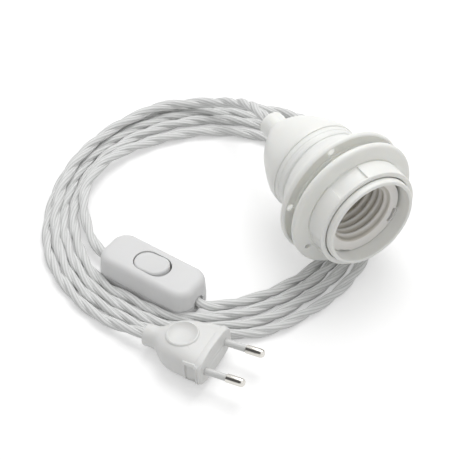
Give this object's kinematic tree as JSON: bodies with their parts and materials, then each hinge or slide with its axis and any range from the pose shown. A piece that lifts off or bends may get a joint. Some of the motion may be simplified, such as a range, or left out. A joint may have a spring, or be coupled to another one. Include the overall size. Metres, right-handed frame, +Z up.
{
  "type": "pendant cord set",
  "caption": "Screw lamp holder with a pair of shade rings, on a coiled twisted textile cord with an inline rocker switch and a flat two-pin plug.",
  "frame": {"origin": "face of the lamp's centre contact, on the axis of the lamp holder", "axes": "holder axis along Y with its mouth facing -Y; +Z up from the surface that the set lies on"},
  "size_m": [0.1617, 0.1784, 0.0692],
  "materials": {
    "white_plastic": "satin white moulded plastic",
    "ivory_plastic": "off-white moulded plastic",
    "switch_plastic": "matt white moulded plastic",
    "nickel": "bright nickel plate",
    "brass": "bare brass spring strip",
    "textile": "braided pale textile over two twisted cores"
  },
  "bodies": {
    "body": {"skirt": "white_plastic", "cap": "white_plastic", "socket": "ivory_plastic", "contact_block": "ivory_plastic", "centre_contact": "brass", "side_contact": "brass", "cord_grip": "white_plastic", "terminal_live": "brass", "terminal_screw_live": "nickel", "terminal_neutral": "brass", "terminal_screw_neutral": "nickel", "switch_base": "switch_plastic", "switch_cover": "switch_plastic", "switch_bridge": "brass", "switch_terminal_in": "brass", "switch_screw_in": "nickel", "switch_terminal_out": "brass", "switch_screw_out": "nickel", "plug_body": "white_plastic", "plug_pin_left": "nickel", "plug_sleeve_left": "switch_plastic", "plug_pin_right": "nickel", "plug_sleeve_right": "switch_plastic", "cord_coil": "textile", "cord_from_holder": "textile", "cord_into_switch": "textile", "cord_out_of_switch": "textile", "cord_to_plug": "textile"},
    "front_ring": {"ring_front": "white_plastic"},
    "back_ring": {"ring_back": "white_plastic"},
    "rocker": {"switch_rocker": "switch_plastic"}
  },
  "joints": [
    {"name": "front_ring_travel", "type": "slide", "parent": "body", "child": "front_ring", "axis": [0, 1, 0], "range_m": [-0.014, 0.0025]},
    {"name": "back_ring_travel", "type": "slide", "parent": "body", "child": "back_ring", "axis": [0, 1, 0], "range_m": [-0.0025, 0.0085]},
    {"name": "rocker_press", "type": "hinge", "parent": "body", "child": "rocker", "pos_m": [-0.082, 0.0192, -0.0267], "axis": [0.9304, 0.3665, 0], "range_deg": [0, 12]}
  ]
}
